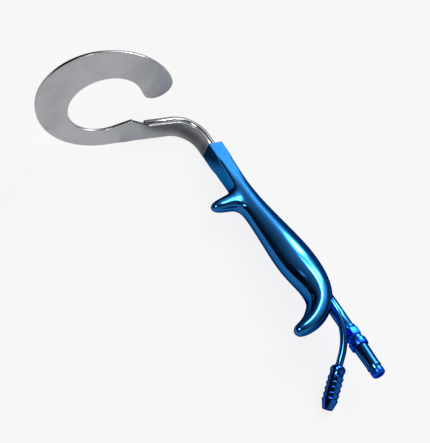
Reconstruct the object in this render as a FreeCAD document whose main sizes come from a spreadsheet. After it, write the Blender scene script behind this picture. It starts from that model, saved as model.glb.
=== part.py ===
import FreeCAD, Part
import math
import os
import re
import Sketcher
from FreeCAD import Placement, Rotation, Vector

# Handheld retractor with a light guide and suction. All lengths are millimetres.
# Working axes: +X runs from the blade towards the light post, -Y is the side of the blade and
# of the finger hook, +Z is the side that faces up. Their origin is the middle of the shank's end.

SIZES = {
    # blade strip: ring plate, neck, bend and tongue
    "stripThick": 1.8,
    "neckWidth": 12.0,
    "neckStraight": 5.15,
    "bendRadius": 15.0,
    "bendAngle": 85.0,
    "neckLength": 29.3,
    "foldAngle": 10.0,
    "tongueLength": 20.0,
    "tongueWidth": 8.0,
    "tongueStep": 0.4,
    # ring plate outline, measured from the fold line and the middle of the neck
    "rimNearRadius": 46.3,
    "rimNearAlong": 22.2,
    "rimNearEdge": 10.3,
    "rimFarRadius": 35.0,
    "rimFarStart": -9.0,
    "rimTopRadius": 50.7,
    "rimTopStart": 78.5,
    "rimBlend": 60.0,
    "rimTopEnd": 148.0,
    "lobeClear": 0.38,
    "holeRadius": 22.5,
    "holeAlong": 23.5,
    "holeAcross": 25.4,
    "earAlong": 2.2,
    "earAcross": 12.2,
    "earSlope": 24.0,
    "earBlend": 12.0,
    # handle shank, ends of the hooks, and the seats in the handle
    "shankDepth": 9.6,
    "shankWidth": 11.6,
    "shankSquare": 16.0,
    "shankLength": 20.0,
    "seatGap": 0.04,
    "hookRootRound": 2.5,
    "hookTipAlong": 41.2,
    "hookTipDrop": 22.4,
    "hookTipRadius": 3.45,
    # steel tubes on the back of the neck
    "tubeRadius": 2.2,
    "tubeBore": 1.65,
    "suctionAcross": 3.0,
    "lightAcross": -2.2,
    "tubeSeat": 26.0,
    "tubeReach": 18.8,
    "tubeLift": 0.03,
    "tubeStraight": 7.6,
    "tubeBend": 17.0,
    "passageRadius": 1.8,
    # fibre bundle
    "fibreRadius": 1.5,
    "fibreBend": 25.0,
    # light post, its stations measured along X
    "postHeight": 10.2,
    "sleeveRadius": 4.0,
    "sleeveBore": 3.3,
    "sleeveStart": 98.0,
    "sleeveEnd": 151.2,
    "ringStart": 141.7,
    "ringLength": 1.6,
    "ringRadius": 4.5,
    "nutStart": 143.7,
    "nutLength": 5.7,
    "nutAcross": 9.4,
    "nutChamfer": 0.5,
    "collarNeckRadius": 4.6,
    "collarNeck": 2.2,
    "flangeRadius": 5.5,
    "flangeLength": 4.3,
    "flangeRound": 0.8,
    "barrelRadius": 4.5,
    "barrelEndRadius": 4.15,
    "barrelLength": 14.0,
    "beadLength": 1.3,
    "beadRadius": 4.35,
    "grooveLength": 1.4,
    "grooveRadius": 3.55,
    "capLength": 4.2,
    "capRadius": 4.1,
    "capRound": 1.5,
    "inletRadius": 1.7,
    "spigotRadius": 3.0,
    "spigotLength": 2.4,
    "ferruleRadius": 2.15,
    "ferruleLength": 22.0,
    # suction outlet tube and hose barb
    "outletHeight": 6.0,
    "outletStart": 108.0,
    "outletBendStart": 129.0,
    "outletBendRadius": 37.2,
    "outletAngle": 47.6,
    "outletRoll": 42.4,
    "outletTail": 10.5,
    "barbSocket": 4.4,
    "barbRadius": 4.5,
    "barbShoulder": 3.4,
    "barbLand": 3.0,
    "barbPitch": 3.3,
    "barbRidges": 4,
    "barbRidgeRadius": 4.8,
    "barbRootRadius": 4.1,
    "barbNose": 6.4,
    "barbNoseRadius": 3.1,
    "barbStep": 0.6,
    "barbThroat": 2.0,
    "barbBore": 2.2,
    # turn that lays the instrument down on its lower side
    "restYaw": 0.0,
    "restPitch": -4.69,
    "restRoll": -8.23,
}

# Sections of the grip: place along X and Y, lean of the section towards -Y,
# half depth, half width, and how square the section is (2 is an ellipse).
GRIP = {
    "shankTop": (23.0, 0.0, 0.0, 4.82, 5.8, 14.0),
    "hookRoot": (34.0, 0.0, 0.0, 6.0, 5.9, 4.0),
    "waist": (47.0, 0.5, -2.0, 7.85, 6.3, 2.5),
    "palmFront": (58.5, 1.7, -5.0, 9.2, 6.9, 2.1),
    "palmTop": (69.8, 2.8, -6.0, 10.6, 7.8, 2.0),
    "palmCrown": (81.0, 3.7, -6.0, 12.0, 8.7, 2.0),
    "palmBack": (91.5, 4.6, -5.0, 12.5, 9.2, 2.0),
    "palmRear": (101.5, 5.5, 0.0, 11.6, 9.1, 2.0),
    "heel": (109.8, 5.6, 10.0, 10.05, 8.7, 2.0),
    "heelTurn": (117.5, 3.9, 24.0, 8.65, 8.1, 2.0),
    "pommelRoot": (123.5, 0.2, 41.0, 7.4, 7.4, 2.0),
    "pommel": (128.2, -5.2, 55.0, 6.8, 6.6, 2.0),
    "pommelNeck": (132.2, -11.4, 65.0, 5.7, 5.7, 2.0),
    "pommelEnd": (134.6, -17.5, 73.0, 4.8, 4.8, 2.0),
    "pommelTip": (135.6, -21.8, 78.0, 4.0, 4.0, 2.0),
}

# Sections of the finger hook: drop towards -Y, place along X, half length, half width.
HOOK = {
    "hookInside": (1.5, 42.5, 12.5, 4.8),
    "hookFoot": (7.4, 40.9, 8.0, 4.9),
    "hookShin": (10.6, 40.4, 5.9, 4.7),
    "hookArm": (14.7, 40.7, 4.9, 4.4),
    "hookWrist": (18.6, 41.0, 4.3, 4.0),
}

doc = FreeCAD.newDocument("Retractor")
sheet = doc.addObject("Spreadsheet::Sheet", "Sizes")
cells = dict(SIZES)
for station, numbers in GRIP.items():
    for column, number in zip(("Along", "Height", "Lean", "Depth", "Width", "Square"), numbers):
        cells[station + column] = number
for station, numbers in HOOK.items():
    for column, number in zip(("Drop", "Along", "Length", "Width"), numbers):
        cells[station + column] = number
for row, (alias, number) in enumerate(cells.items(), start=1):
    sheet.set("A%d" % row, alias)
    sheet.set("B%d" % row, str(number))
    sheet.setAlias("B%d" % row, alias)
doc.recompute()


# height of both steel tubes over the middle of the shank: they lie on the back of the strip
TUBE_LINE = "-shankDepth / 2 + stripThick + tubeRadius + tubeLift"


def size(text):
    """The value of a size, or of a sum of sizes."""
    return float(sheet.evalExpression(text))


def linked(text):
    """The same text as an expression for another object."""
    return re.sub(r"[A-Za-z]\w*", lambda word: "Sizes." + word[0] if word[0] in cells else word[0], text)


def bind(thing, prop, text):
    thing.setExpression(prop, linked(text))


def polar(centre, radius, degrees):
    angle = math.radians(degrees)
    return Vector(centre.x + radius * math.cos(angle), centre.y + radius * math.sin(angle), 0)


def arc(centre, radius, start, end):
    """Arc that runs anticlockwise between two directions in degrees."""
    circle = Part.Circle(centre, Vector(0, 0, 1), radius)
    return Part.ArcOfCircle(circle, math.radians(start), math.radians(end))


def newBody(name):
    body = doc.addObject("PartDesign::Body", name)
    body.Label = name
    return body


def newSketch(body, name, plane):
    sketch = body.newObject("Sketcher::SketchObject", name)
    support = [part for part in body.Origin.OriginFeatures if part.Role == plane][0]
    sketch.AttachmentSupport = [(support, "")]
    sketch.MapMode = "FlatFace"
    return sketch


def addCorners(sketch, corners):
    """Closed outline of straight lines whose corners are held by size expressions."""
    points = [Vector(size(along), size(across), 0) for along, across in corners]
    first = sketch.GeometryCount
    count = len(points)
    for index, point in enumerate(points):
        sketch.addGeometry(Part.LineSegment(point, points[(index + 1) % count]))
    for index in range(count):
        joined = first + (index + 1) % count
        sketch.addConstraint(Sketcher.Constraint("Coincident", first + index, 2, joined, 1))
    for index, (along, across) in enumerate(corners):
        for kind, text, place in (("DistanceX", along, points[index].x), ("DistanceY", across, points[index].y)):
            held = sketch.addConstraint(Sketcher.Constraint(kind, -1, 1, first + index, 1, place))
            bind(sketch, "Constraints[%d]" % held, text)


def addCircle(sketch, radius):
    index = sketch.addGeometry(Part.Circle(Vector(0, 0, 0), Vector(0, 0, 1), size(radius)))
    sketch.addConstraint(Sketcher.Constraint("Coincident", index, 3, -1, 1))
    held = sketch.addConstraint(Sketcher.Constraint("Radius", index, size(radius)))
    bind(sketch, "Constraints[%d]" % held, radius)


def turned(name, corners, rounded=None, rims=()):
    """Piece turned about X from its half section; rims are (along, radius) of the rounded edges."""
    body = newBody(name)
    sketch = newSketch(body, name + "Profile", "XY_Plane")
    addCorners(sketch, corners)
    revolution = body.newObject("PartDesign::Revolution", name + "Turned")
    revolution.Profile = sketch
    revolution.ReferenceAxis = (sketch, ["H_Axis"])
    revolution.Angle = 360
    doc.recompute()
    if rounded:
        edges = [circleEdge(revolution.Shape, size(along), size(radius)) for along, radius in rims]
        fillet = body.newObject("PartDesign::Fillet", name + "Round")
        fillet.Base = (revolution, edges)
        bind(fillet, "Radius", rounded)
        body.Tip = fillet
        doc.recompute()
    return body


def circleEdge(shape, along, radius):
    """Name of the circular edge about X at that station and radius."""
    for index, edge in enumerate(shape.Edges, start=1):
        curve = edge.Curve
        if isinstance(curve, Part.Circle) and abs(curve.Radius - radius) < 1e-4:
            if abs(curve.Center.x - along) < 1e-4:
                return "Edge%d" % index
    raise ValueError("no rim at %s, %s" % (along, radius))


def bentTube(name, start, bendStart, radius, angle, tail):
    """Steel tube that runs along X, bends towards -Y and ends in a straight tail."""
    body = newBody(name)
    path = newSketch(body, name + "Path", "XY_Plane")
    heading = 1 if size(bendStart) > size(start) else -1
    turn = math.radians(size(angle))
    bend = Vector(size(bendStart), 0, 0)
    centre = Vector(bend.x, -size(radius), 0)
    bendEnd = centre + Vector(heading * math.sin(turn), math.cos(turn), 0) * size(radius)
    away = Vector(heading * math.cos(turn), -math.sin(turn), 0)
    path.addGeometry(Part.LineSegment(Vector(size(start), 0, 0), bend))
    path.addGeometry(arc(centre, size(radius), *sorted((90, 90 - heading * size(angle)))))
    path.addGeometry(Part.LineSegment(bendEnd, bendEnd + away * size(tail)))
    near, far = (2, 1) if heading > 0 else (1, 2)
    path.addConstraint(Sketcher.Constraint("PointOnObject", 0, 1, -1))
    path.addConstraint(Sketcher.Constraint("PointOnObject", 0, 2, -1))
    path.addConstraint(Sketcher.Constraint("Tangent", 0, 2, 1, near))
    path.addConstraint(Sketcher.Constraint("Tangent", 1, far, 2, 1))
    run = "%d * (%s) * sin(%s)" % (heading, radius, angle)
    for rule, text in [(("DistanceX", -1, 1, 0, 1), start), (("DistanceX", -1, 1, 0, 2), bendStart),
                       (("Radius", 1), radius), (("Distance", 2), tail), (("DistanceX", 1, near, 1, far), run)]:
        held = path.addConstraint(Sketcher.Constraint(*rule, size(text)))
        bind(path, "Constraints[%d]" % held, text)
    ring = newSketch(body, name + "Ring", "YZ_Plane")
    bind(ring, ".AttachmentOffset.Base.z", start)
    addCircle(ring, "tubeRadius")
    addCircle(ring, "tubeBore")
    pipe = body.newObject("PartDesign::AdditivePipe", name + "Pipe")
    pipe.Profile = ring
    pipe.Spine = (path, ["Edge1", "Edge2", "Edge3"])
    doc.recompute()
    return body


# Blade: a side profile of even thickness, cut to the ring plate's outline
def makeBlade():
    thick = size("stripThick")
    front = -size("shankDepth") / 2
    step = size("tongueStep")
    bend = size("bendAngle")
    lean = bend - size("foldAngle")
    centre = Vector(-size("neckStraight"), front - size("bendRadius"), 0)
    neckFront = polar(centre, size("bendRadius"), 90 + bend)
    neckBack = polar(centre, size("bendRadius") + thick, 90 + bend)
    foldFront = polar(neckFront, size("neckLength"), 180 + bend)
    foldBack = polar(foldFront, thick / math.cos(math.radians(size("foldAngle") / 2)), 90 + (bend + lean) / 2)
    reach = size("rimNearAlong") + size("rimNearRadius") + 5
    endFront = polar(foldFront, reach, 180 + lean)
    endBack = polar(endFront, thick, 90 + lean)

    body = newBody("blade")
    side = newSketch(body, "bladeSide", "XY_Plane")
    tongue = size("tongueLength")
    line = Part.LineSegment
    corners = [Vector(tongue, front + step, 0), Vector(0, front + step, 0), Vector(0, front, 0),
               Vector(centre.x, front, 0)]
    for near, far in zip(corners, corners[1:]):
        side.addGeometry(line(near, far))
    side.addGeometry(arc(centre, size("bendRadius"), 90, 90 + bend))
    corners = [neckFront, foldFront, endFront, endBack, foldBack, neckBack]
    for near, far in zip(corners, corners[1:]):
        side.addGeometry(line(near, far))
    side.addGeometry(arc(centre, size("bendRadius") + thick, 90, 90 + bend))
    corners = [Vector(centre.x, front + thick, 0), Vector(0, front + thick, 0),
               Vector(0, front + thick - step, 0), Vector(tongue, front + thick - step, 0),
               Vector(tongue, front + step, 0)]
    for near, far in zip(corners, corners[1:]):
        side.addGeometry(line(near, far))
    strip = body.newObject("PartDesign::Pad", "bladeStrip")
    strip.Profile = side
    strip.Midplane = True
    bind(strip, "Length", "4 * rimNearRadius")
    doc.recompute()

    plan = newSketch(body, "bladeOutline", "XZ_Plane")
    plan.AttachmentOffset = Placement(Vector(foldFront.x, 0, -foldFront.y),
                                      Rotation(Vector(0, 1, 0), 180 + lean))
    for edge in plateOutline():
        plan.addGeometry(edge)
    far = 4 * size("rimNearRadius")
    frame = [Vector(-far, -far, 0), Vector(far, -far, 0), Vector(far, far, 0), Vector(-far, far, 0)]
    for index in range(4):
        plan.addGeometry(line(frame[index], frame[(index + 1) % 4]))
    cut = body.newObject("PartDesign::Pocket", "bladeTrim")
    cut.Profile = plan
    cut.Type = 1
    cut.Midplane = True
    doc.recompute()

    cheeks = newSketch(body, "tongueCheeks", "XZ_Plane")
    for hand in ("", "-"):
        addCorners(cheeks, [("0", hand + "tongueWidth / 2"), ("tongueLength + 2", hand + "tongueWidth / 2"),
                            ("tongueLength + 2", hand + "neckWidth"), ("0", hand + "neckWidth")])
    sides = body.newObject("PartDesign::Pocket", "tongueSides")
    sides.Profile = cheeks
    sides.Type = 1
    sides.Midplane = True
    doc.recompute()
    return body


def plateOutline():
    """Arcs and lines of the ring plate and the neck, along the plate and across it."""
    nearRadius = size("rimNearRadius")
    near = Vector(size("rimNearAlong"), nearRadius - size("rimNearEdge"), 0)
    farStart = size("rimFarStart")
    farRadius = size("rimFarRadius")
    far = polar(near, nearRadius - farRadius, farStart)
    topStart = size("rimTopStart")
    topRadius = size("rimTopRadius")
    top = polar(far, farRadius - topRadius, topStart)
    hole = Vector(size("holeAlong"), size("holeAcross"), 0)
    holeRadius = size("holeRadius")
    # the lobe rounds the free end: it runs on from the top arc and fills the band as far as the hole's circle
    topEnd = size("rimTopEnd")
    outward = polar(Vector(0, 0, 0), 1, topEnd)
    toRim = top + outward * topRadius - hole
    clear = holeRadius + size("lobeClear")
    lobeRadius = (toRim.dot(toRim) - clear ** 2) / (2 * (toRim.dot(outward) + clear))
    lobe = polar(top, topRadius - lobeRadius, topEnd)
    half = size("neckWidth") / 2
    tail = -(size("neckLength") + 2 * size("bendRadius") + size("tongueLength"))

    # the lip between the lobe and the hole is a line that touches both circles
    between = hole - lobe
    lip = math.degrees(math.atan2(between.y, between.x) - math.acos((lobeRadius + holeRadius) / between.Length))
    # the hole runs out in a line that touches it and ends at the ear
    ear = Vector(size("earAlong"), size("earAcross"), 0)
    toEar = ear - hole
    runOut = math.degrees(math.atan2(toEar.y, toEar.x) + math.acos(holeRadius / toEar.Length))
    # the ear's far side slopes down to the neck's edge and meets it in an arc
    slope = size("earSlope")
    blend = size("earBlend")
    waist = Vector(ear.x - (ear.y - half) / math.tan(math.radians(slope)), half, 0)
    tangent = blend * math.tan(math.radians(slope / 2))
    waistCentre = Vector(waist.x - tangent, half + blend, 0)
    # the neck's lower edge runs into the rim in a hollow arc
    rimBlend = size("rimBlend")
    rise = near.y + half + rimBlend
    run = math.sqrt((nearRadius + rimBlend) ** 2 - rise ** 2)
    hollow = Vector(near.x - run, -half - rimBlend, 0)
    meet = math.degrees(math.atan2(rise, run))

    line = Part.LineSegment
    return [
        arc(near, nearRadius, meet - 180, farStart),
        arc(far, farRadius, farStart, topStart),
        arc(top, topRadius, topStart, topEnd),
        arc(lobe, lobeRadius, topEnd, 360 + lip),
        line(polar(lobe, lobeRadius, lip), polar(hole, holeRadius, lip + 180)),
        arc(hole, holeRadius, runOut, lip + 180),
        line(polar(hole, holeRadius, runOut), ear),
        line(ear, polar(waistCentre, blend, slope - 90)),
        arc(waistCentre, blend, -90, slope - 90),
        line(Vector(waistCentre.x, half, 0), Vector(tail, half, 0)),
        line(Vector(tail, half, 0), Vector(tail, -half, 0)),
        line(Vector(tail, -half, 0), Vector(hollow.x, -half, 0)),
        arc(hollow, rimBlend, meet, 90),
    ]


# Handle: smooth skins through the sections, with bores for the tubes and a slot for the tongue
def ovalWire(centre, along, across, length, width, square):
    """Closed smooth curve, an ellipse that gets squarer as square goes above 2."""
    points = []
    for step in range(32):
        angle = 2 * math.pi * step / 32
        reach = [math.copysign(abs(value) ** (2 / square), value) for value in (math.cos(angle), math.sin(angle))]
        points.append(centre + along * (length * reach[0]) + across * (width * reach[1]))
    curve = Part.BSplineCurve()
    curve.interpolate(points, PeriodicFlag=True)
    return Part.Wire([curve.toShape()])


def addSkin(name, wires):
    skin = doc.addObject("Part::Feature", name)
    skin.Shape = Part.makeLoft(wires, True, False)
    return skin


def addDome(name, centre, along, across, outward, radius):
    """Round end of a hook: circles that shrink to a point, from the outline of its last section."""
    wires = []
    for climb in (0, 28, 52, 70, 82):
        lift = outward * (radius * math.sin(math.radians(climb)))
        around = radius * math.cos(math.radians(climb))
        wires.append(ovalWire(centre + lift, along, across, around, around, 2))
    return addSkin(name, wires + [Part.Vertex(centre + outward * radius)])


def makeHandle():
    up = Vector(0, 0, 1)
    end = ovalWire(Vector(0, 0, 0), Vector(0, 1, 0), up, size("shankDepth") / 2, size("shankWidth") / 2,
                   size("shankSquare"))
    shank = doc.addObject("Part::Feature", "shankSkin")
    shank.Shape = Part.Face(end).extrude(Vector(size("shankLength"), 0, 0))

    wires = [end.translated(Vector(size("shankLength"), 0, 0))]
    for station in GRIP:
        x, y, lean, depth, width, square = [
            size(station + column) for column in ("Along", "Height", "Lean", "Depth", "Width", "Square")]
        angle = math.radians(lean)
        back = Vector(math.sin(angle), math.cos(angle), 0)
        wires.append(ovalWire(Vector(x, y, 0), back, up, depth, width, square))
    grip = addSkin("gripSkin", wires)
    outward = Vector(math.cos(angle), -math.sin(angle), 0)
    pommel = addDome("pommelDome", Vector(x, y, 0), back, up, outward, depth)

    wires = []
    along = Vector(1, 0, 0)
    for station in HOOK:
        drop, x, length, width = [size(station + column) for column in ("Drop", "Along", "Length", "Width")]
        wires.append(ovalWire(Vector(x, -drop, 0), along, up, length, width, 2))
    tip = size("hookTipRadius")
    tipCentre = Vector(size("hookTipAlong"), -size("hookTipDrop"), 0)
    wires.append(ovalWire(tipCentre, along, up, tip, tip, 2))
    hook = addSkin("hookSkin", wires)
    hookTip = addDome("hookDome", tipCentre, along, up, Vector(0, -1, 0), tip)

    casting = doc.addObject("Part::MultiFuse", "casting")
    casting.Shapes = [shank, grip, pommel, hook, hookTip]
    doc.recompute()

    # the finger hook flows into the grip along the closed line where their skins cross
    solid = casting.Shape.Solids[0]
    root = [edge for edge in solid.Edges if edge.isClosed() and edge.BoundBox.YMax < -size("shankDepth") / 2
            and edge.BoundBox.YMin > -size("hookArmDrop")]
    blended = doc.addObject("Part::Feature", "hookBlend")
    blended.Shape = solid.makeFillet(size("hookRootRound"), root)

    seats = [
        bore("suctionSeat", "tubeRadius + seatGap", "-1", "tubeSeat + seatGap", TUBE_LINE, "suctionAcross"),
        drilling("suctionPassage", "outletStart", "outletHeight", "suctionAcross"),
        bore("outletHole", "tubeRadius + seatGap", "outletStart - seatGap", "outletBendStart + 20",
             "outletHeight", "suctionAcross"),
        bore("lightSeat", "tubeRadius + seatGap", "-1", "tubeSeat + seatGap", TUBE_LINE, "lightAcross"),
        drilling("lightPassage", "sleeveStart", "postHeight", "lightAcross"),
        bore("sleeveHole", "sleeveRadius + seatGap", "sleeveStart - seatGap", "ringStart",
             "postHeight", "lightAcross"),
    ]
    slot = doc.addObject("Part::Box", "tongueSlot")
    bind(slot, "Length", "tongueLength + seatGap + 1")
    bind(slot, "Width", "stripThick - 2 * tongueStep + 2 * seatGap")
    bind(slot, "Height", "tongueWidth + 2 * seatGap")
    bind(slot, "Placement.Base.x", "-1")
    bind(slot, "Placement.Base.y", "-shankDepth / 2 + tongueStep - seatGap")
    bind(slot, "Placement.Base.z", "-tongueWidth / 2 - seatGap")
    holes = doc.addObject("Part::MultiFuse", "handleHoles")
    holes.Shapes = seats + [slot]
    handle = doc.addObject("Part::Cut", "handle")
    handle.Base = blended
    handle.Tool = holes
    handle.Label = "handle"
    return handle


def bore(name, radius, start, end, height, across):
    cylinder = doc.addObject("Part::Cylinder", name)
    cylinder.Placement = Placement(Vector(0, 0, 0), Rotation(Vector(0, 1, 0), 90))
    bind(cylinder, "Radius", radius)
    bind(cylinder, "Height", "%s - (%s)" % (end, start))
    bind(cylinder, "Placement.Base.x", start)
    bind(cylinder, "Placement.Base.y", height)
    bind(cylinder, "Placement.Base.z", across)
    return cylinder


def drilling(name, farAlong, farHeight, across):
    """Slanting passage from the seat of a front tube to the seat of a rear one."""
    cylinder = doc.addObject("Part::Cylinder", name)
    start = Vector(size("tubeSeat"), size(TUBE_LINE), size(across))
    run = Vector(size(farAlong), size(farHeight), size(across)) - start
    direction = Vector(run).normalize()
    back = size("passageRadius")
    cylinder.Placement = Placement(start - direction * back, Rotation(Vector(0, 0, 1), run))
    bind(cylinder, "Radius", "passageRadius")
    cylinder.Height = run.Length + back + 1
    return cylinder


def fibrePath(sketch):
    """Line of the bundle: along the blade's tube, slanting up through the handle, along the post."""
    tubeLine = size(TUBE_LINE)
    bend = size("bendAngle")
    arm = size("tubeBend")
    centre = Vector(-size("tubeStraight"), tubeLine - arm, 0)
    leave = polar(centre, arm, 90 + bend)
    first = polar(leave, size("tubeReach") - size("seatGap"), 180 + bend)
    low = Vector(size("tubeSeat"), tubeLine, 0)
    high = Vector(size("sleeveStart"), size("postHeight"), 0)
    slant = math.degrees(math.atan2(high.y - low.y, high.x - low.x))
    radius = size("fibreBend")
    reach = radius * math.tan(math.radians(slant / 2))
    lowCentre = Vector(low.x - reach, low.y + radius, 0)
    highCentre = Vector(high.x + reach, high.y - radius, 0)
    line = Part.LineSegment
    for edge in [
        line(first, leave),
        arc(centre, arm, 90, 90 + bend),
        line(Vector(centre.x, tubeLine, 0), Vector(lowCentre.x, tubeLine, 0)),
        arc(lowCentre, radius, 270, 270 + slant),
        line(polar(lowCentre, radius, 270 + slant), polar(highCentre, radius, 90 + slant)),
        arc(highCentre, radius, 90, 90 + slant),
        line(Vector(highCentre.x, high.y, 0), Vector(size(INLET), high.y, 0)),
    ]:
        sketch.addGeometry(edge)
    return first, 180 + bend


def makeFibre():
    body = newBody("fibre_bundle")
    path = newSketch(body, "fibrePath", "XY_Plane")
    first, heading = fibrePath(path)
    ring = newSketch(body, "fibreRing", "YZ_Plane")
    ring.AttachmentOffset = Placement(Vector(first.y, 0, first.x), Rotation(Vector(0, 1, 0), heading))
    addCircle(ring, "fibreRadius")
    pipe = body.newObject("PartDesign::AdditivePipe", "fibrePipe")
    pipe.Profile = ring
    pipe.Spine = (path, ["Edge%d" % (index + 1) for index in range(7)])
    return body


def makeNut():
    prism = doc.addObject("Part::Prism", "nutPrism")
    prism.Polygon = 6
    bind(prism, "Circumradius", "nutAcross / 2 / cos(30)")
    bind(prism, "Height", "nutLength")
    # a flat of the nut faces the suction outlet that bends away beside it
    flatsTurned = Rotation(Vector(1, 0, 0), 30) * Rotation(Vector(0, 1, 0), 90)
    prism.Placement = Placement(Vector(size("nutStart"), 0, 0), flatsTurned)
    corner = "nutAcross / 2 / cos(30)"
    cut = corner + " - nutChamfer"
    inner = "sleeveRadius + seatGap"
    end = "nutStart + nutLength"
    lathe = turned("nutTurned", [("nutStart", inner), (end, inner), (end, cut), (end + " - nutChamfer", corner),
                                 ("nutStart + nutChamfer", corner), ("nutStart", cut)])
    nut = doc.addObject("Part::Common", "lock_nut")
    nut.Base = prism
    nut.Tool = lathe
    nut.Label = "lock_nut"
    return nut


def makeBarb():
    """Hose barb along X from the face of its shoulder: ridges with a gentle front and a steep back."""
    corners = [("0", "tubeRadius + seatGap"), ("barbSocket + seatGap", "tubeRadius + seatGap"),
               ("barbSocket + seatGap", "tubeBore"), ("barbSocket + barbThroat", "tubeBore"),
               ("barbSocket + barbThroat", "barbBore")]
    ridges = "barbShoulder + barbLand"
    tip = "%s + barbRidges * barbPitch + barbNose" % ridges
    corners += [(tip, "barbBore"), (tip, "barbNoseRadius")]
    for ridge in reversed(range(SIZES["barbRidges"] + 1)):
        start = "%s + %d * barbPitch" % (ridges, ridge)
        corners.append((start + " + barbStep", "barbRidgeRadius"))
        corners.append((start, "barbRootRadius"))
    corners += [("barbShoulder", "barbRootRadius"), ("barbShoulder", "barbRadius"), ("0", "barbRadius")]
    return turned("hose_barb", corners)


# ends of the light post's pieces, one after the other along X
COLLAR_START = "nutStart + nutLength + seatGap"
FLANGE_END = COLLAR_START + " + collarNeck + flangeLength"
BARREL_END = FLANGE_END + " + barrelLength"
GROOVE_END = BARREL_END + " + beadLength + grooveLength"
INLET = GROOVE_END + " + spigotLength"

blade = makeBlade()
handle = makeHandle()
lightTube = bentTube("light_guide_tube", "tubeSeat", "-tubeStraight", "tubeBend", "bendAngle", "tubeReach")
suctionTube = bentTube("suction_tube", "tubeSeat", "-tubeStraight", "tubeBend", "bendAngle", "tubeReach")
outlet = bentTube("suction_outlet_tube", "outletStart", "outletBendStart", "outletBendRadius", "outletAngle",
                  "outletTail")
fibre = makeFibre()
sleeve = turned("light_post_sleeve", [("sleeveStart", "sleeveBore"), ("sleeveEnd", "sleeveBore"),
                                      ("sleeveEnd", "sleeveRadius"), ("sleeveStart", "sleeveRadius")])
ringEnd = "ringStart + ringLength"
ring = turned("sleeve_ring", [("ringStart", "sleeveRadius + seatGap"), (ringEnd, "sleeveRadius + seatGap"),
                              (ringEnd, "ringRadius"), ("ringStart", "ringRadius")])
nut = makeNut()
collarStep = "sleeveEnd + seatGap"
collar = turned("post_collar", [(COLLAR_START, "sleeveRadius + seatGap"), (collarStep, "sleeveRadius + seatGap"),
                                (collarStep, "spigotRadius + seatGap"), (FLANGE_END, "spigotRadius + seatGap"),
                                (FLANGE_END, "flangeRadius"), (COLLAR_START + " + collarNeck", "flangeRadius"),
                                (COLLAR_START + " + collarNeck", "collarNeckRadius"),
                                (COLLAR_START, "collarNeckRadius")],
                "flangeRound", [(FLANGE_END, "flangeRadius"), (COLLAR_START + " + collarNeck", "flangeRadius")])
barrel = turned("light_post_barrel", [(collarStep + " + seatGap", "ferruleRadius + seatGap"),
                                      (INLET, "ferruleRadius + seatGap"), (INLET, "spigotRadius"),
                                      (GROOVE_END, "spigotRadius"), (GROOVE_END, "grooveRadius"),
                                      (BARREL_END + " + beadLength", "grooveRadius"),
                                      (BARREL_END + " + beadLength", "beadRadius"),
                                      (BARREL_END, "beadRadius"), (BARREL_END, "barrelEndRadius"),
                                      (FLANGE_END + " + seatGap", "barrelRadius"),
                                      (FLANGE_END + " + seatGap", "spigotRadius"),
                                      (collarStep + " + seatGap", "spigotRadius")])
capStart = GROOVE_END + " + seatGap"
capEnd = GROOVE_END + " + capLength"
cap = turned("light_post_cap", [(capStart, "spigotRadius + seatGap"), (INLET + " + seatGap", "spigotRadius + seatGap"),
                                (INLET + " + seatGap", "inletRadius"), (capEnd, "inletRadius"),
                                (capEnd, "capRadius"), (capStart, "capRadius")],
             "capRound", [(capEnd, "capRadius")])
ferrule = turned("inlet_ferrule", [(INLET + " - ferruleLength", "fibreRadius + seatGap"),
                                   (INLET, "fibreRadius + seatGap"), (INLET, "ferruleRadius"),
                                   (INLET + " - ferruleLength", "ferruleRadius")])
barb = makeBarb()
doc.recompute()

# where each piece sits on the working axes
onLight = Placement(Vector(0, size("postHeight"), size("lightAcross")), Rotation())
tubes = Placement(Vector(0, size(TUBE_LINE), 0), Rotation())
outletSeat = Placement(Vector(0, size("outletHeight"), size("suctionAcross")),
                       Rotation(Vector(1, 0, 0), size("outletRoll")))
turn = math.radians(size("outletAngle"))
bendEnd = Vector(size("outletBendStart") + size("outletBendRadius") * math.sin(turn),
                 size("outletBendRadius") * (math.cos(turn) - 1), 0)
away = Vector(math.cos(turn), -math.sin(turn), 0)
barbSeat = outletSeat * Placement(bendEnd + away * (size("outletTail") - size("barbSocket")),
                                  Rotation(Vector(0, 0, 1), -size("outletAngle")))
seats = [
    (blade, Placement()),
    (handle, Placement()),
    (lightTube, Placement(Vector(0, 0, size("lightAcross")), Rotation()) * tubes),
    (suctionTube, Placement(Vector(0, 0, size("suctionAcross")), Rotation()) * tubes),
    (outlet, outletSeat),
    (fibre, Placement(Vector(0, 0, size("lightAcross")), Rotation())),
    (sleeve, onLight),
    (ring, onLight),
    (nut, onLight),
    (collar, onLight),
    (barrel, onLight),
    (cap, onLight),
    (ferrule, onLight),
    (barb, barbSeat),
]
# the instrument is laid down as it comes to rest, and stands on the middle of its own shadow
rest = Placement(Vector(0, 0, 0), Rotation(size("restYaw"), size("restPitch"), size("restRoll")))
for piece, seat in seats:
    piece.Placement = rest * seat
doc.recompute()
whole = FreeCAD.BoundBox()
for piece, seat in seats:
    whole.add(piece.Shape.optimalBoundingBox(False))
shift = Placement(Vector(-whole.Center.x, -whole.Center.y, -whole.ZMin), Rotation())
for piece, seat in seats:
    piece.Placement = shift * piece.Placement
doc.recompute()
for thing in doc.Objects:
    if "Invalid" in thing.State or "Error" in thing.State:
        raise RuntimeError("%s did not build" % thing.Name)
for piece, seat in seats:
    if piece.Shape.isNull() or not piece.Shape.isValid() or len(piece.Shape.Solids) != 1:
        raise RuntimeError("%s is not one sound solid" % piece.Label)

os.makedirs("parts", exist_ok=True)
for piece, seat in seats:
    shape = piece.Shape
    print(piece.Label, round(shape.Volume, 1), [round(value, 2) for value in (
        shape.BoundBox.XMin, shape.BoundBox.XMax, shape.BoundBox.YMin, shape.BoundBox.YMax,
        shape.BoundBox.ZMin, shape.BoundBox.ZMax)])
    shape.exportStep("parts/%s.step" % piece.Label)
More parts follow.
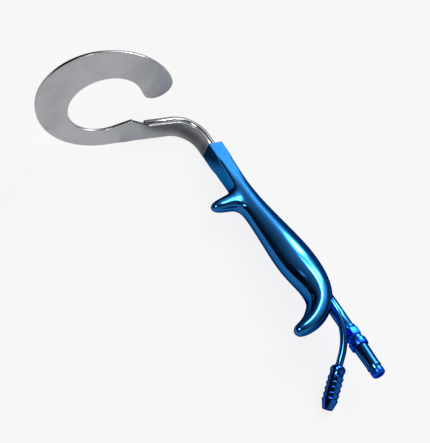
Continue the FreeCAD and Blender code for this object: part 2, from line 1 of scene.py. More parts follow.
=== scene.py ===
import bpy, bmesh, math
from mathutils import Matrix, Vector


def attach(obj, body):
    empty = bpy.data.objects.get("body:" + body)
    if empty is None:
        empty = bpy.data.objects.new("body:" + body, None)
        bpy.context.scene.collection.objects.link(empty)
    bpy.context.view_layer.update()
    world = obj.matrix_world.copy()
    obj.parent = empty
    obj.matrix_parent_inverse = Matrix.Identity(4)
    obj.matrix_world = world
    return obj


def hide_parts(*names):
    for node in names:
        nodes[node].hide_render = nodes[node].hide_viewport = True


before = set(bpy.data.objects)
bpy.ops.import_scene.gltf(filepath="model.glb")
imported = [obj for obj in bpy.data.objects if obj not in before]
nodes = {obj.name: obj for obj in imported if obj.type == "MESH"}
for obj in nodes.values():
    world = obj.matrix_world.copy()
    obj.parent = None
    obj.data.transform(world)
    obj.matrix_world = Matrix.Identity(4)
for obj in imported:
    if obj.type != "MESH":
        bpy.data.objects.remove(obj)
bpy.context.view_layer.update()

# How the instrument lies. Its own axes run from the blade to the light post (X), away from the
# hooks (Y) and to its upper side (Z), in millimetres from the middle of the shank's front end.
lieRows = [
    (0.99665167, 0.01170436, -0.0809225, -67.36889),
    (0.0, 0.98970141, 0.14314716, 45.449982),
    (0.08176456, -0.14266786, 0.98638757, 6.278714),
    (0, 0, 0, 1),
]
lie = Matrix.Scale(0.001, 4) @ Matrix(lieRows)
lieTurn = lie.to_3x3().normalized()
nearby = 0.01               # a point this near to a plane is on it
# where the tubes and the post lie: heights along Y, the others along Z
layout = {
    "tubeLine": -0.77,      # height of the two front tubes
    "postHeight": 10.2,
    "outletHeight": 6.0,
    "lightAcross": -2.2,    # light guide tube and light post
    "suctionAcross": 3.0,   # suction tube and its outlet
}

# modelling steps that several pieces share
def startEdit():
    bpy.ops.object.mode_set(mode="EDIT")
    bpy.ops.mesh.select_mode(type="VERT")

def endEdit():
    bpy.ops.object.mode_set(mode="OBJECT")

def chooseOnly(piece):
    bpy.ops.object.select_all(action="DESELECT")
    piece.select_set(True)
    bpy.context.view_layer.objects.active = piece

def applyPlace(piece):
    chooseOnly(piece)
    bpy.ops.object.transform_apply(location=True, rotation=True, scale=True)

def addRing(name, sides, radius, along):
    bpy.ops.object.select_all(action="DESELECT")
    bpy.ops.mesh.primitive_circle_add(vertices=sides, radius=radius, fill_type="NOTHING",
                                      location=(along, 0, 0), rotation=(0, math.radians(90), 0))
    piece = bpy.context.object
    piece.name = name
    applyPlace(piece)
    startEdit()
    bpy.ops.mesh.select_all(action="SELECT")
    return piece

def pickVerts(piece, test):
    bpy.ops.mesh.select_mode(type="VERT")
    bpy.ops.mesh.select_all(action="DESELECT")
    shape = bmesh.from_edit_mesh(piece.data)
    for vert in shape.verts:
        vert.select = test(vert.co)
    shape.select_flush(True)
    bmesh.update_edit_mesh(piece.data)

def pickFaces(piece, test):
    bpy.ops.mesh.select_mode(type="FACE")
    bpy.ops.mesh.select_all(action="DESELECT")
    shape = bmesh.from_edit_mesh(piece.data)
    for face in shape.faces:
        face.select = test(face.calc_center_median(), face.normal)
    shape.select_flush(True)
    bmesh.update_edit_mesh(piece.data)

def drawOut(way):
    bpy.ops.mesh.extrude_region_move(TRANSFORM_OT_translate={"value": way})

def closeShell(merge=0.0005):
    bpy.ops.mesh.select_all(action="SELECT")
    bpy.ops.mesh.remove_doubles(threshold=merge)
    bpy.ops.mesh.normals_make_consistent(inside=False)
    endEdit()

def applyModifier(piece, kind, **settings):
    modifier = piece.modifiers.new(kind.title(), kind)
    for name, value in settings.items():
        setattr(modifier, name, value)
    chooseOnly(piece)
    bpy.ops.object.modifier_apply(modifier=modifier.name)

def roundEdges(piece, width, segments=3, sharp=30, smooth=40):
    applyModifier(piece, "BEVEL", width=width, segments=segments, limit_method="ANGLE",
                  angle_limit=math.radians(sharp), use_clamp_overlap=True)
    bpy.ops.object.shade_smooth_by_angle(angle=math.radians(smooth))

# the finished piece goes where it lies and takes the place of its CAD node
def settle(piece, seat, node):
    piece.matrix_world = lie @ seat
    applyPlace(piece)
    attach(piece, "root")
    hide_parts(node)
    return piece

# handle: a ring drawn out through the sections of the grip and smoothed by subdivision
handleShape = {
    # place along X and Y, lean, half depth, half width, roundness (0 is square, 1 is oval)
    "sections": [
        (0.0, 0.0, 0, 4.77, 5.74, 0.0), (0.7, 0.0, 0, 4.77, 5.74, 0.0),
        (7.0, 0.0, 0, 4.78, 5.76, 0.0), (14.5, 0.0, 0, 4.8, 5.8, 0.0),
        (21.5, 0.0, 0, 4.82, 5.8, 0.05), (27.5, 0.0, 0, 5.2, 5.84, 0.3),
        (33.2, 0.0, 0, 5.9, 5.92, 0.55), (37.6, 0.1, 0, 6.45, 6.02, 0.66),
        (42.6, 0.3, -1, 7.15, 6.15, 0.76), (48.2, 0.6, -2, 7.95, 6.35, 0.86),
        (58.5, 1.7, -5, 9.25, 6.95, 0.97), (69.8, 2.8, -6, 10.65, 7.8, 1),
        (81.0, 3.7, -6, 12.05, 8.72, 1), (91.5, 4.6, -5, 12.6, 9.26, 1),
        (101.5, 5.5, 0, 11.7, 9.16, 1), (109.8, 5.6, 10, 10.1, 8.75, 1),
        (117.5, 3.9, 24, 8.65, 8.13, 1), (123.7, 0.2, 41, 7.4, 7.42, 1),
        (128.5, -5.2, 55, 6.8, 6.6, 1), (132.5, -11.4, 65, 5.7, 5.7, 1),
        (134.8, -17.5, 73, 4.8, 4.8, 1), (135.8, -21.9, 78, 4.06, 4.06, 1),
        (136.25, -24.3, 80, 3.2, 3.2, 1), (136.4, -25.7, 80, 1.7, 1.7, 1),
    ],
    "spread": 1.026,             # a smoothed ring draws in by this much
    "endSpan": 4,                # faces along a side of the grids that close both ends
    "shankEnd": 20.0,
    "shankHalf": (4.8, 5.8),     # half depth and half width of the square shank
    "shankCorner": 0.97,         # its corners lie beyond this share of both
    "shankCrease": 0.7,
    "hookSpan": (33.5, 48.0),    # the finger hook is drawn out of the lower faces in this span
    "hookFacing": -0.7,
    "hookMiddle": 40.7,
    # finger hook: drop, place along X, half length, half width
    "hook": [
        (9.0, 40.6, 6.9, 4.85), (11.4, 40.4, 5.65, 4.65), (14.7, 40.7, 4.95, 4.4),
        (18.6, 41.0, 4.35, 4.02), (22.6, 41.2, 3.5, 3.5), (24.9, 41.2, 2.4, 2.4),
        (25.95, 41.2, 1.2, 1.2),
    ],
    "hookSpread": 1.034,
    "smoothing": 3,
    "smoothAngle": 60,
}

def selectedReach(piece, centre):
    shape = bmesh.from_edit_mesh(piece.data)
    chosen = [vert.co - centre for vert in shape.verts if vert.select]
    return [max(abs(co[axis]) for co in chosen) for axis in range(3)]

# turns what is selected clockwise about Z, as the operator does without a window
def turnAboutZ(degrees, centre):
    bpy.ops.transform.rotate(value=math.radians(degrees), orient_axis="Z", center_override=centre)

def fitSection(piece, centre, depth, width):
    reach = selectedReach(piece, centre)
    bpy.ops.transform.resize(value=(1, depth / reach[1], width / reach[2]), center_override=centre)

def drawGrip(piece):
    centre, lean, roundness = Vector((0, 0, 0)), 0, 0
    for index, (x, y, nextLean, depth, width, nextRound) in enumerate(handleShape["sections"]):
        if index:
            drawOut((0, 0, 0))
        turnAboutZ(-lean, centre)
        if nextRound > roundness:
            fitSection(piece, centre, 1, 1)
            bpy.ops.transform.tosphere(value=(nextRound - roundness) / (1 - roundness))
        spread = 1 + (handleShape["spread"] - 1) * nextRound
        fitSection(piece, centre, depth * spread, width * spread)
        bpy.ops.transform.translate(value=Vector((x, y, 0)) - centre)
        centre, lean, roundness = Vector((x, y, 0)), nextLean, nextRound
        turnAboutZ(lean, centre)
    bpy.ops.mesh.fill_grid(span=handleShape["endSpan"])

def drawHook(piece):
    start, end = handleShape["hookSpan"]
    pickFaces(piece, lambda place, normal: start < place.x < end and
              normal.y < handleShape["hookFacing"])
    spread = handleShape["hookSpread"]
    step = Vector((0, -1, 0))
    for index, (drop, along, length, width) in enumerate(handleShape["hook"]):
        bpy.ops.mesh.select_mode(type="VERT")
        drawOut(step)
        centre = Vector((along, -drop, 0))
        if index == 0:           # the first ring is made flat and oval
            reach = selectedReach(piece, Vector((along, 0, 0)))
            sideways = along - handleShape["hookMiddle"]
            bpy.ops.transform.translate(value=(sideways, reach[1] - drop, 0))
            bpy.ops.transform.resize(value=(1, 0, 1), center_override=centre)
            reach = selectedReach(piece, centre)
            bpy.ops.transform.resize(value=(1 / reach[0], 1, 1 / reach[2]), center_override=centre)
            bpy.ops.mesh.region_to_loop()
            bpy.ops.transform.tosphere(value=1)
            pickVerts(piece, lambda place: abs(place.y + drop) < nearby)
        else:
            bpy.ops.transform.translate(value=centre - before - step)
        reach = selectedReach(piece, centre)
        bpy.ops.transform.resize(value=(length * spread / reach[0], 1, width * spread / reach[2]),
                                 center_override=centre)
        before = centre

# the outline of the shank's front end and its four long corners stay crisp
def creaseShank(piece):
    depth, width = handleShape["shankHalf"]
    for reach, measure in ((nearby, max), (handleShape["shankEnd"], min)):
        pickVerts(piece, lambda place: place.x < reach and
                  measure(abs(place.y) / depth, abs(place.z) / width) > handleShape["shankCorner"])
        bpy.ops.transform.edge_crease(value=handleShape["shankCrease"])

def makeHandle():
    bpy.ops.object.select_all(action="DESELECT")
    bpy.ops.mesh.primitive_plane_add(size=2, location=(0, 0, 0), rotation=(0, math.radians(90), 0))
    piece = bpy.context.object
    piece.name = "gripCasting"
    applyPlace(piece)
    startEdit()
    bpy.ops.mesh.select_all(action="SELECT")
    bpy.ops.mesh.subdivide(number_cuts=3)
    pickVerts(piece, lambda place: max(abs(place.y), abs(place.z)) < 0.9)    # inside the outline
    bpy.ops.mesh.delete(type="VERT")
    bpy.ops.mesh.select_all(action="SELECT")
    drawGrip(piece)
    pickVerts(piece, lambda place: place.x < nearby)
    bpy.ops.mesh.fill_grid(span=handleShape["endSpan"])
    bpy.ops.mesh.select_all(action="SELECT")
    bpy.ops.mesh.normals_make_consistent(inside=False)
    drawHook(piece)
    creaseShank(piece)
    closeShell()
    levels = handleShape["smoothing"]
    applyModifier(piece, "SUBSURF", levels=levels, render_levels=levels)
    bpy.ops.object.shade_smooth_by_angle(angle=math.radians(handleShape["smoothAngle"]))
    return settle(piece, Matrix(), "handle")

gripCasting = makeHandle()
print("handle modelled")

# blade: the CAD plate with its edges broken and its narrow sides polished
bladeShape = {
    "merge": 0.000002,                        # metres, as the edge break is
    "edgeBreak": 0.0007,
    "breakSteps": 4,
    "sharp": 40.0,                            # degrees at an edge that is broken
    "flatWithin": 0.4,                        # degrees between faces that are one flat
    "plateNormal": (0.9659, -0.2588, 0),
    "neckLine": (-24.4, -54.1, 2.5),          # the neck is brushed from this line on, and painted shade darkens its steel there
    "neckFacing": (0.249, 0.929, 0.274),
    "neckReach": 16.0,                        # the neck lies within this distance of the middle
    "neckSide": 0.5,                          # its narrow sides face further sideways than this
    "rimTilt": 12.0,                          # polished where it leans more than this from the flat
    "finishes": ("satinSteel", "polishedSteel", "neckSteelPaintedShade", "sideSteelPaintedShade"),
}

def makeBlade():
    chooseOnly(nodes["blade"])
    bpy.ops.object.duplicate()
    piece = bpy.context.object
    piece.name = "ringBlade"
    startEdit()
    closeShell(bladeShape["merge"])
    startEdit()
    bpy.ops.mesh.select_all(action="SELECT")
    bpy.ops.mesh.dissolve_limited(angle_limit=math.radians(bladeShape["flatWithin"]))
    endEdit()
    roundEdges(piece, bladeShape["edgeBreak"], bladeShape["breakSteps"], bladeShape["sharp"])
    startEdit()
    bpy.ops.mesh.select_all(action="SELECT")
    bpy.ops.mesh.bisect(plane_co=lie @ Vector(bladeShape["neckLine"]),
                        plane_no=lieTurn @ Vector(bladeShape["neckFacing"]))
    endEdit()
    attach(piece, "root")
    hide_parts("blade")
    return piece

ringBlade = makeBlade()
print("blade modelled")

# tubes: a ring drawn straight, spun round the bend, drawn out again, with a wall
tubeWall = {"radius": 2.2, "wall": 0.55, "sides": 48, "bendSteps": 40, "edgeBreak": 0.08,
            "breakSteps": 2}
neckTube = {"start": 26.0, "bendStart": -7.6, "bend": 17.0, "turn": 85.0, "tail": 18.8,
            "height": "tubeLine", "roll": 0, "slot": "tube_steel", "finish": "tubeSteel"}
tubes = {
    "lightTube": {**neckTube, "across": "lightAcross", "node": "light_guide_tube"},
    "suctionTube": {**neckTube, "across": "suctionAcross", "node": "suction_tube"},
    "outletTube": {"start": 108.0, "bendStart": 129.0, "bend": 37.2, "turn": 47.6, "tail": 10.5,
                   "height": "outletHeight", "across": "suctionAcross", "roll": 42.4,
                   "node": "suction_outlet_tube", "slot": "handle_blue", "finish": "glossBlue"},
}

def tubeSeat(tube):
    place = Matrix.Translation((0, layout[tube["height"]], layout[tube["across"]]))
    return place @ Matrix.Rotation(math.radians(tube["roll"]), 4, "X")

def makeTube(name, tube):
    heading = 1 if tube["bendStart"] > tube["start"] else -1
    turn = math.radians(tube["turn"])
    piece = addRing(name, tubeWall["sides"], tubeWall["radius"], tube["start"])
    drawOut((tube["bendStart"] - tube["start"], 0, 0))
    bpy.ops.mesh.spin(steps=tubeWall["bendSteps"], angle=heading * turn,
                      center=(tube["bendStart"], -tube["bend"], 0), axis=(0, 0, 1))
    away = Vector((heading * math.cos(turn), -math.sin(turn), 0))
    drawOut(away * tube["tail"])
    closeShell()
    applyModifier(piece, "SOLIDIFY", thickness=tubeWall["wall"], offset=-1)
    roundEdges(piece, tubeWall["edgeBreak"], tubeWall["breakSteps"])
    return settle(piece, tubeSeat(tube), tube["node"])

tubePieces = {name: makeTube(name, tube) for name, tube in tubes.items()}
print("tubes modelled")

# fittings turned on the lathe: (along, radius) corners of the cut, back to the first one
turnedSides = 96
barbRidges = {"count": 5, "pitch": 3.3, "foot": (6.4, 4.1), "crest": (7.0, 4.8)}
barbSocket = 4.4            # length of the outlet tube that the barb takes in
barbCuts = [(0, 2.24), (0, 3.3), (1.5, 4.5), (3.4, 4.5), (3.4, 4.1)]
for ridge in range(barbRidges["count"]):
    for along, radius in (barbRidges["foot"], barbRidges["crest"]):
        barbCuts.append((along + barbRidges["pitch"] * ridge, radius))
barbCuts += [(26.0, 3.1), (26.0, 2.2), (6.4, 2.2), (6.4, 1.65), (4.44, 1.65), (4.44, 2.24)]
fittings = {
    "postSleeve": {
        "cuts": [(98.0, 3.3), (98.0, 4.0), (151.2, 4.0), (151.2, 3.3)],
        "edge": 0.2, "node": "light_post_sleeve", "slot": "fitting_blue", "finish": "glossBlue"},
    "stopRing": {
        "cuts": [(141.7, 4.04), (141.7, 4.5), (143.3, 4.5), (143.3, 4.04)],
        "edge": 0.35, "node": "sleeve_ring", "slot": "fitting_blue", "finish": "fittingBlue"},
    "lockNut": {
        "cuts": [(143.7, 4.67), (143.7, 4.95), (144.3, 5.42), (148.8, 5.42), (149.4, 4.95),
                 (149.4, 4.67)],
        "sides": 6,
        "edge": 0.14, "node": "lock_nut", "slot": "fitting_blue", "finish": "fittingBlue"},
    "postCollar": {
        "cuts": [(149.44, 4.04), (149.44, 4.6), (151.64, 4.6), (151.64, 5.5), (155.94, 5.5),
                 (155.94, 3.04), (151.24, 3.04), (151.24, 4.04)],
        "edge": 0.45, "node": "post_collar", "slot": "fitting_blue", "finish": "fittingBlue"},
    "postBarrel": {
        "cuts": [(151.28, 2.19), (151.28, 3.0), (155.98, 3.0), (155.98, 4.5), (169.94, 4.15),
                 (169.94, 4.35), (171.24, 4.35), (171.24, 3.55), (172.64, 3.55), (172.64, 3.0),
                 (175.04, 3.0), (175.04, 2.19)],
        "edge": 0.12, "node": "light_post_barrel", "slot": "fitting_blue", "finish": "glossBlue"},
    "postCap": {
        "cuts": [(172.68, 3.04), (172.68, 4.1), (175.34, 4.1), (175.92, 3.98), (176.4, 3.66),
                 (176.72, 3.17), (176.84, 2.6), (176.84, 1.7), (175.08, 1.7), (175.08, 3.04)],
        "edge": 0.2, "node": "light_post_cap", "slot": "fitting_blue", "finish": "fittingBlue"},
    "inletFerrule": {
        "cuts": [(153.04, 1.54), (153.04, 2.15), (175.04, 2.15), (175.04, 1.54)],
        "edge": 0.1, "node": "inlet_ferrule", "slot": "ferrule_steel", "finish": "ferruleSteel"},
    "hoseBarb": {
        "cuts": barbCuts,
        "edge": 0.22, "node": "hose_barb", "slot": "barb_blue", "finish": "barbBlue"},
}

def turnFitting(name, fitting):
    cuts = fitting["cuts"]
    along, radius = cuts[0]
    piece = addRing(name, fitting.get("sides", turnedSides), radius, along)
    for nextAlong, nextRadius in cuts[1:] + cuts[:1]:
        drawOut((nextAlong - along, 0, 0))
        growth = nextRadius / radius
        bpy.ops.transform.resize(value=(1, growth, growth), center_override=(nextAlong, 0, 0))
        along, radius = nextAlong, nextRadius
    closeShell()
    roundEdges(piece, fitting["edge"])
    return piece

# the barb sits on the free end of the outlet tube
def barbSeat():
    tube = tubes["outletTube"]
    turn = math.radians(tube["turn"])
    bendEnd = Vector((tube["bendStart"] + tube["bend"] * math.sin(turn),
                      tube["bend"] * (math.cos(turn) - 1), 0))
    away = Vector((math.cos(turn), -math.sin(turn), 0))
    shoulder = bendEnd + away * (tube["tail"] - barbSocket)
    return tubeSeat(tube) @ Matrix.Translation(shoulder) @ Matrix.Rotation(-turn, 4, "Z")

postSeat = Matrix.Translation((0, layout["postHeight"], layout["lightAcross"]))
fittingPieces = {}
for name, fitting in fittings.items():
    seat = barbSeat() if name == "hoseBarb" else postSeat
    fittingPieces[name] = settle(turnFitting(name, fitting), seat, fitting["node"])
print("fittings modelled")

# shader helpers
def addNode(tree, kind, inputs=None, **settings):
    node = tree.nodes.new(kind)
    for name, value in settings.items():
        setattr(node, name, value)
    for name, value in (inputs or {}).items():
        node.inputs[name].default_value = value
    return node

def addRamp(tree, stops, interpolation="EASE"):
    node = tree.nodes.new("ShaderNodeValToRGB")
    ramp = node.color_ramp
    ramp.interpolation = interpolation
    while len(ramp.elements) < len(stops):
        ramp.elements.new(0.5)
    for element, (place, value) in zip(ramp.elements, stops):
        element.position = place
        element.color = (*value, 1)
    return node

def grey(value):
    return (value, value, value)

# a ramp of greys, with its stops between low and high
def addGreyRamp(tree, stops, low=0, high=1, interpolation="EASE"):
    places = [((place - low) / (high - low), grey(value)) for place, value in stops]
    return addRamp(tree, places, interpolation)

# two colours joined all over
def blendColours(tree, kind, first, second):
    blend = addNode(tree, "ShaderNodeMix", {"Factor": 1.0}, data_type="RGBA", blend_type=kind)
    tree.links.new(first, blend.inputs["A"])
    tree.links.new(second, blend.inputs["B"])
    return blend.outputs["Result"]

# soft clouds, fine grain and smudges that all the metal shares
wearNoise = {
    "Cloud": {"scale": 60, "detail": 3, "rough": 0.55, "mask": "Clouds"},
    "Grain": {"scale": 4000, "detail": 2, "rough": 0.6, "mask": "Grain"},
    "Smudge": {"scale": 150, "detail": 5, "rough": 0.65, "mask": "Smudges"},
}

def makeSurfaceGroup():
    group = bpy.data.node_groups.new("surfaceWear", "ShaderNodeTree")
    for name, noise in wearNoise.items():
        socket = group.interface.new_socket(name + " Scale", in_out="INPUT",
                                            socket_type="NodeSocketFloat")
        socket.default_value = noise["scale"]
    for noise in wearNoise.values():
        group.interface.new_socket(noise["mask"], in_out="OUTPUT", socket_type="NodeSocketFloat")
    entry = group.nodes.new("NodeGroupInput")
    leave = group.nodes.new("NodeGroupOutput")
    place = addNode(group, "ShaderNodeTexCoord")
    for name, noise in wearNoise.items():
        texture = addNode(group, "ShaderNodeTexNoise",
                          {"Detail": noise["detail"], "Roughness": noise["rough"]})
        group.links.new(place.outputs["Object"], texture.inputs["Vector"])
        group.links.new(entry.outputs[name + " Scale"], texture.inputs["Scale"])
        group.links.new(texture.outputs["Fac"], leave.inputs[noise["mask"]])
    return group

surfaceWear = makeSurfaceGroup()

def newMaterial(name):
    material = bpy.data.materials.new(name)
    material.use_nodes = True
    return material, material.node_tree, material.node_tree.nodes["Principled BSDF"]

# how the masks act: the colour changes within cloudSpan, the roughness within smudgeSpan
metalWear = {"cloudSpan": (0.34, 0.66), "smudgeSpan": (0.3, 0.7), "grainDepth": 0.00005}

def makeMetal(name, look):
    material, tree, shader = newMaterial(name)
    shader.inputs["Metallic"].default_value = 1
    shader.inputs["Specular Tint"].default_value = (*look["tint"], 1)
    wear = addNode(tree, "ShaderNodeGroup", node_tree=surfaceWear)
    for noise, scale in zip(wearNoise, look["scales"]):
        wear.inputs[noise + " Scale"].default_value = scale
    start, end = metalWear["cloudSpan"]
    colour = addRamp(tree, [(start, look["dark"]), (end, look["base"])])
    tree.links.new(wear.outputs["Clouds"], colour.inputs["Fac"])
    tree.links.new(colour.outputs["Color"], shader.inputs["Base Color"])
    start, end = metalWear["smudgeSpan"]
    low, high = look["rough"]
    sheen = addNode(tree, "ShaderNodeMapRange",
                    {"From Min": start, "From Max": end, "To Min": low, "To Max": high})
    tree.links.new(wear.outputs["Smudges"], sheen.inputs["Value"])
    tree.links.new(sheen.outputs["Result"], shader.inputs["Roughness"])
    relief = addNode(tree, "ShaderNodeBump",
                     {"Strength": look["bump"], "Distance": metalWear["grainDepth"]})
    tree.links.new(wear.outputs["Grain"], relief.inputs["Height"])
    tree.links.new(relief.outputs["Normal"], shader.inputs["Normal"])
    return material

# Base and dark colour of the clouds, range of roughness, strength of the grain, scales of clouds,
# grain and smudges, and the tint that reflections take towards the outline.
steelTint, blueTint = (0.9, 0.9, 0.9), (0.0, 0.02, 0.08)
metals = {
    "satinSteel": {
        "base": (0.66, 0.665, 0.69), "dark": (0.56, 0.565, 0.59), "rough": (0.42, 0.5),
        "bump": 0.2, "scales": (45, 6000, 120), "tint": steelTint},
    "polishedSteel": {
        "base": (0.52, 0.525, 0.54), "dark": (0.44, 0.445, 0.46), "rough": (0.2, 0.26),
        "bump": 0.05, "scales": (90, 3000, 200), "tint": steelTint},
    # painted shade: the neck's steel, and its narrow sides' steel still more, is darker than the
    # plate's
    "neckSteelPaintedShade": {
        "base": (0.5, 0.52, 0.56), "dark": (0.43, 0.445, 0.48), "rough": (0.27, 0.34),
        "bump": 0.15, "scales": (60, 5000, 140), "tint": steelTint},
    "sideSteelPaintedShade": {
        "base": (0.27, 0.275, 0.29), "dark": (0.22, 0.225, 0.24), "rough": (0.14, 0.18),
        "bump": 0.1, "scales": (60, 5000, 140), "tint": steelTint},
    "tubeSteel": {
        "base": (0.37, 0.375, 0.39), "dark": (0.3, 0.305, 0.32), "rough": (0.12, 0.18),
        "bump": 0.05, "scales": (90, 3000, 200), "tint": steelTint},
    "ferruleSteel": {
        "base": (0.6, 0.61, 0.63), "dark": (0.45, 0.45, 0.47), "rough": (0.2, 0.3),
        "bump": 0.1, "scales": (200, 3000, 300), "tint": steelTint},
    "glossBlue": {
        "base": (0.028, 0.195, 0.54), "dark": (0.022, 0.17, 0.49), "rough": (0.07, 0.11),
        "bump": 0.01, "scales": (35, 900, 160), "tint": blueTint},
    "fittingBlue": {
        "base": (0.014, 0.14, 0.86), "dark": (0.01, 0.115, 0.76), "rough": (0.22, 0.3),
        "bump": 0.03, "scales": (90, 1500, 220), "tint": blueTint},
    "barbBlue": {
        "base": (0.02, 0.13, 0.52), "dark": (0.014, 0.1, 0.42), "rough": (0.08, 0.13),
        "bump": 0.03, "scales": (90, 1500, 220), "tint": blueTint},
    "fibreGlass": {
        "base": (0.8, 0.75, 0.6), "dark": (0.3, 0.27, 0.2), "rough": (0.25, 0.4),
        "bump": 0.2, "scales": (2600, 6000, 300), "tint": steelTint},
}
finishes = {name: makeMetal(name, look) for name, look in metals.items()}

def dress(piece, *names):
    piece.data.materials.clear()
    for name in names:
        piece.data.materials.append(finishes[name])

# the plate's rim is polished, its flats are satin, and the neck and bend are brushed, with painted
# shade: darker steel on the neck and darker still on its narrow sides
def finishBlade(piece):
    flat = lieTurn @ Vector(bladeShape["plateNormal"])
    line = lie @ Vector(bladeShape["neckLine"])
    facing = lieTurn @ Vector(bladeShape["neckFacing"])
    upright = math.cos(math.radians(bladeShape["rimTilt"]))
    sideways = lieTurn @ Vector((0, 0, 1))
    back = lie.inverted()
    for face in piece.data.polygons:
        beyondLine = (face.center - line).dot(facing) > 0
        if beyondLine and (back @ face.center).z < bladeShape["neckReach"]:
            # painted shade: darker steel on the neck, darkest on its narrow sides
            isSide = abs(face.normal.dot(sideways)) > bladeShape["neckSide"]
            finish = "sideSteelPaintedShade" if isSide else "neckSteelPaintedShade"
        else:
            isRim = abs(face.normal.dot(flat)) < upright
            finish = "polishedSteel" if isRim else "satinSteel"
        face.material_index = bladeShape["finishes"].index(finish)

dress(ringBlade, *bladeShape["finishes"])
finishBlade(ringBlade)
dress(gripCasting, "glossBlue")
for name, piece in tubePieces.items():
    dress(piece, tubes[name]["finish"])
for name, piece in fittingPieces.items():
    dress(piece, fittings[name]["finish"])
dress(nodes["fibre_bundle"], "fibreGlass")
print("finishes ready")

# floor, light and camera
studio = {
    "floorSize": 6.0,
    "paper": 0.3,
    "paperRough": 0.9,
    "paperGlow": 0.85,           # the floor as the camera sees it
    "glowInReflections": 0.5,
    "paintedShade": 0.02,                # painted shade: a dark patch on the floor under the neck, seen in reflections only
    "paintedShadeMiddle": (-0.071, 0.029, 0),
    "paintedShadeSpan": (0.005, 0.017),  # it fades out between these distances from its middle
    # light round the long side: degrees from straight up towards the back, strength
    "glow": [(-90, 0.01), (-54, 0.01), (-42, 0.02), (-26, 0.05), (-8, 0.085), (10, 0.13),
             (24, 0.2), (34, 0.34), (41, 0.56), (47, 0.72), (53, 0.72), (60, 0.5), (68, 0.2),
             (80, 0.05), (90, 0.02)],
    # and how it fades from the blade's end (-1) to the light post's end (1)
    "glowFade": [(-1.0, 0.05), (-0.78, 0.12), (-0.6, 0.6), (-0.5, 1.0), (-0.3, 1.0),
                 (-0.12, 0.4), (0.2, 0.15), (1.0, 0.06)],
    # soft light from the light post's end
    "fill": [(-1.0, 0.0), (0.42, 0.0), (0.72, 0.16), (1.0, 0.16)],
    "glowStrength": 3.0,
    "backdrop": 0.95,
}

def makeFloor():
    bpy.ops.object.select_all(action="DESELECT")
    bpy.ops.mesh.primitive_plane_add(size=studio["floorSize"], location=(0, 0, 0))
    floor = bpy.context.object
    floor.name = "floor"
    material, tree, shader = newMaterial("palePaper")
    shader.inputs["Roughness"].default_value = studio["paperRough"]
    shader.inputs["Specular IOR Level"].default_value = 0
    shader.inputs["Base Color"].default_value = (*grey(studio["paper"]), 1)
    shader.inputs["Emission Color"].default_value = (1, 1, 1, 1)
    place = addNode(tree, "ShaderNodeTexCoord")
    # painted shade in reflections: the floor's glow is dimmed around a point under the neck
    fromPaintedShade = addNode(tree, "ShaderNodeVectorMath", operation="SUBTRACT")
    fromPaintedShade.inputs[1].default_value = studio["paintedShadeMiddle"]
    tree.links.new(place.outputs["Object"], fromPaintedShade.inputs[0])
    distance = addNode(tree, "ShaderNodeVectorMath", operation="LENGTH")
    tree.links.new(fromPaintedShade.outputs["Vector"], distance.inputs[0])
    near, far = studio["paintedShadeSpan"]
    paintedShade = addNode(tree, "ShaderNodeMapRange",
                   {"From Min": near, "From Max": far, "To Min": studio["paintedShade"],
                    "To Max": studio["glowInReflections"]}, interpolation_type="SMOOTHSTEP")
    tree.links.new(distance.outputs["Value"], paintedShade.inputs["Value"])
    ray = addNode(tree, "ShaderNodeLightPath")
    glow = addNode(tree, "ShaderNodeMix", {"B": studio["paperGlow"]})
    tree.links.new(ray.outputs["Is Camera Ray"], glow.inputs["Factor"])
    tree.links.new(paintedShade.outputs["Result"], glow.inputs["A"])
    tree.links.new(glow.outputs["Result"], shader.inputs["Emission Strength"])
    floor.data.materials.append(material)

# Soft boxes close by, in line with the instrument and seen in reflections only. The first gives
# the grip and the light post their brightest streak, the second the pommel, the third the outlet
# tube and the barb. Their brightness changes along the instrument, from over the shank to over
# the light post, and across it.
softSpot = [(0.0, 0.0), (0.3, 0.4), (0.5, 1.0), (0.7, 0.4), (1.0, 0.0)]
softBoxes = {
    "palmLamp": {
        "place": (-0.157, 0.321, 0.252), "aim": (0.027, 0.053, 0.020), "size": (0.142, 0.25),
        "along": [(0.0, 0.03), (0.07, 0.3), (0.16, 0.6), (0.25, 0.9), (0.35, 1.0), (0.42, 0.3),
                  (0.5, 0.06), (0.7, 0.08), (0.8, 0.4), (1.0, 0.4)],
        "across": [(0.0, 0.0), (0.14, 0.06), (0.3, 0.35), (0.42, 1.0), (0.58, 1.0), (0.7, 0.35),
                   (0.86, 0.06), (1.0, 0.0)],
        "power": 1.0, "strength": 5.5},
    "pommelLamp": {
        "place": (-0.114, 0.228, 0.324), "aim": (0.0616, 0.0323, 0.0238), "size": (0.12, 0.1),
        "along": [(0.0, 0.0), (0.38, 0.12), (0.55, 1.0), (0.75, 0.4), (1.0, 0.0)],
        "across": softSpot,
        "power": 1.0, "strength": 2.4},
    "barbLamp": {
        "place": (0.024, -0.124, 0.371), "aim": (0.096, 0.036, 0.011), "size": (0.17, 0.17),
        "along": softSpot,
        "across": softSpot,
        "power": 1.0, "strength": 4.0},
}

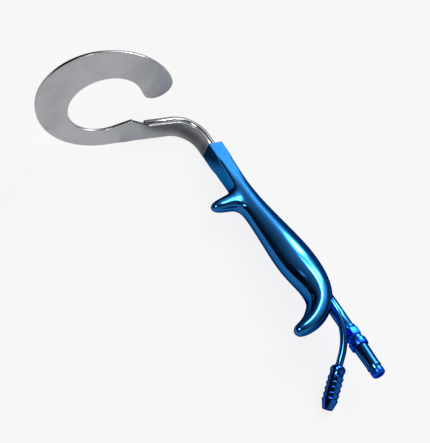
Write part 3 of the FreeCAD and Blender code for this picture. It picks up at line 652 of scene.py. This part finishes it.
def makeSoftBox(name, box):
    away = (Vector(box["place"]) - Vector(box["aim"])).normalized()
    across = away.cross(lieTurn @ Vector((1, 0, 0))).normalized()
    turn = Matrix((across.cross(away), across, away)).transposed()
    bpy.ops.object.light_add(type="AREA", location=box["place"], rotation=turn.to_euler())
    light = bpy.context.object
    light.name = name
    light.data.shape = "RECTANGLE"
    light.data.size, light.data.size_y = box["size"]
    light.data.energy = box["power"]
    light.visible_camera = False
    light.visible_diffuse = False
    light.data.use_nodes = True
    tree = light.data.node_tree
    place = addNode(tree, "ShaderNodeNewGeometry")
    split = addNode(tree, "ShaderNodeSeparateXYZ")
    tree.links.new(place.outputs["Parametric"], split.inputs["Vector"])
    shine = []
    for axis, side in (("X", "along"), ("Y", "across")):
        ramp = addGreyRamp(tree, box[side])
        tree.links.new(split.outputs[axis], ramp.inputs["Fac"])
        shine.append(ramp.outputs["Color"])
    emission = tree.nodes["Emission"]
    tree.links.new(blendColours(tree, "MULTIPLY", *shine), emission.inputs["Color"])
    emission.inputs["Strength"].default_value = box["strength"]

# the sky is a long soft box over the instrument that fades towards both horizons, and a fill
def makeSky():
    world = bpy.data.worlds.new("studioSky")
    bpy.context.scene.world = world
    world.use_nodes = True
    tree = world.node_tree
    place = addNode(tree, "ShaderNodeTexCoord")
    split = addNode(tree, "ShaderNodeSeparateXYZ")
    tree.links.new(place.outputs["Generated"], split.inputs["Vector"])
    around = addNode(tree, "ShaderNodeMath", operation="ARCTAN2")
    tree.links.new(split.outputs["Y"], around.inputs[0])
    tree.links.new(split.outputs["Z"], around.inputs[1])
    aboutX = addNode(tree, "ShaderNodeMapRange",
                     {"From Min": -math.pi / 2, "From Max": math.pi / 2})
    tree.links.new(around.outputs["Value"], aboutX.inputs["Value"])
    alongX = addNode(tree, "ShaderNodeMapRange", {"From Min": -1, "From Max": 1})
    tree.links.new(split.outputs["X"], alongX.inputs["Value"])
    glow = addGreyRamp(tree, studio["glow"], -90, 90, "LINEAR")
    fade = addGreyRamp(tree, studio["glowFade"], -1, 1)
    fill = addGreyRamp(tree, studio["fill"], -1, 1)
    for source, ramp in ((aboutX, glow), (alongX, fade), (alongX, fill)):
        tree.links.new(source.outputs["Result"], ramp.inputs["Fac"])
    both = blendColours(tree, "MULTIPLY", glow.outputs["Color"], fade.outputs["Color"])
    sky = tree.nodes["Background"]
    tree.links.new(blendColours(tree, "ADD", both, fill.outputs["Color"]), sky.inputs["Color"])
    sky.inputs["Strength"].default_value = studio["glowStrength"]
    paper = addNode(tree, "ShaderNodeBackground", {"Color": (*grey(studio["backdrop"]), 1)})
    ray = addNode(tree, "ShaderNodeLightPath")
    mix = addNode(tree, "ShaderNodeMixShader")       # the camera sees plain pale paper instead
    tree.links.new(ray.outputs["Is Camera Ray"], mix.inputs["Fac"])
    tree.links.new(sky.outputs["Background"], mix.inputs[1])
    tree.links.new(paper.outputs["Background"], mix.inputs[2])
    tree.links.new(mix.outputs["Shader"], tree.nodes["World Output"].inputs["Surface"])

cameraSetup = {
    "place": (0.49758, -0.62054, 1.10049),
    "turn": (34.134, -15.278, 60.191),       # degrees
    "lens": 189.65,
    "sensor": 36.0,
    "farthest": 50.0,
}

def makeCamera():
    turn = [math.radians(angle) for angle in cameraSetup["turn"]]
    bpy.ops.object.camera_add(location=cameraSetup["place"], rotation=turn)
    camera = bpy.context.object
    camera.name = "photoCamera"
    camera.data.lens = cameraSetup["lens"]
    camera.data.sensor_width = cameraSetup["sensor"]
    camera.data.clip_end = cameraSetup["farthest"]
    bpy.context.scene.camera = camera

makeFloor()
for name, box in softBoxes.items():
    makeSoftBox(name, box)
makeSky()
makeCamera()
bpy.context.scene.view_settings.view_transform = "Standard"       # keeps the blue as deep as it is
print("studio ready")
